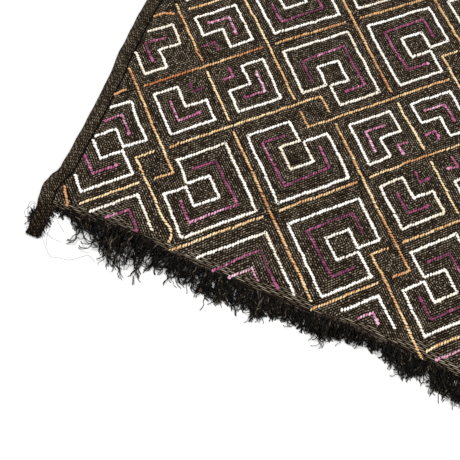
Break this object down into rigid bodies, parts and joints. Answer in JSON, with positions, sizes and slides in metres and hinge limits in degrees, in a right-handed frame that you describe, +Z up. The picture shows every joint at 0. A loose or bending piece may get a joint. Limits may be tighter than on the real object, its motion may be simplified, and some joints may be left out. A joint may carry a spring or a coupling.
{
  "type": "kuba raffia cloth",
  "caption": "Flat embroidered raffia panel with a nested-square pattern, rolled hems on its sides and top, and a short cut fringe along one edge.",
  "frame": {"origin": "on the surface that the cloth lies on, under the middle of the whole piece", "axes": "+X along the fringed edge, +Y from the fringed edge towards the plain top hem, +Z up out of the embroidered face"},
  "size_m": [0.5616, 0.5026, 0.0062],
  "materials": {
    "raffia_weave": "matt hand-woven dark brown raffia with embroidery",
    "raffia_fringe": "fine cut black raffia ends",
    "embroidery_white": "off-white stem stitch",
    "embroidery_magenta": "magenta stem stitch, unevenly dyed",
    "embroidery_orange": "orange stem stitch, unevenly dyed"
  },
  "bodies": {
    "root": {"cloth": "raffia_weave", "fringe": "raffia_fringe"}
  },
  "joints": []
}
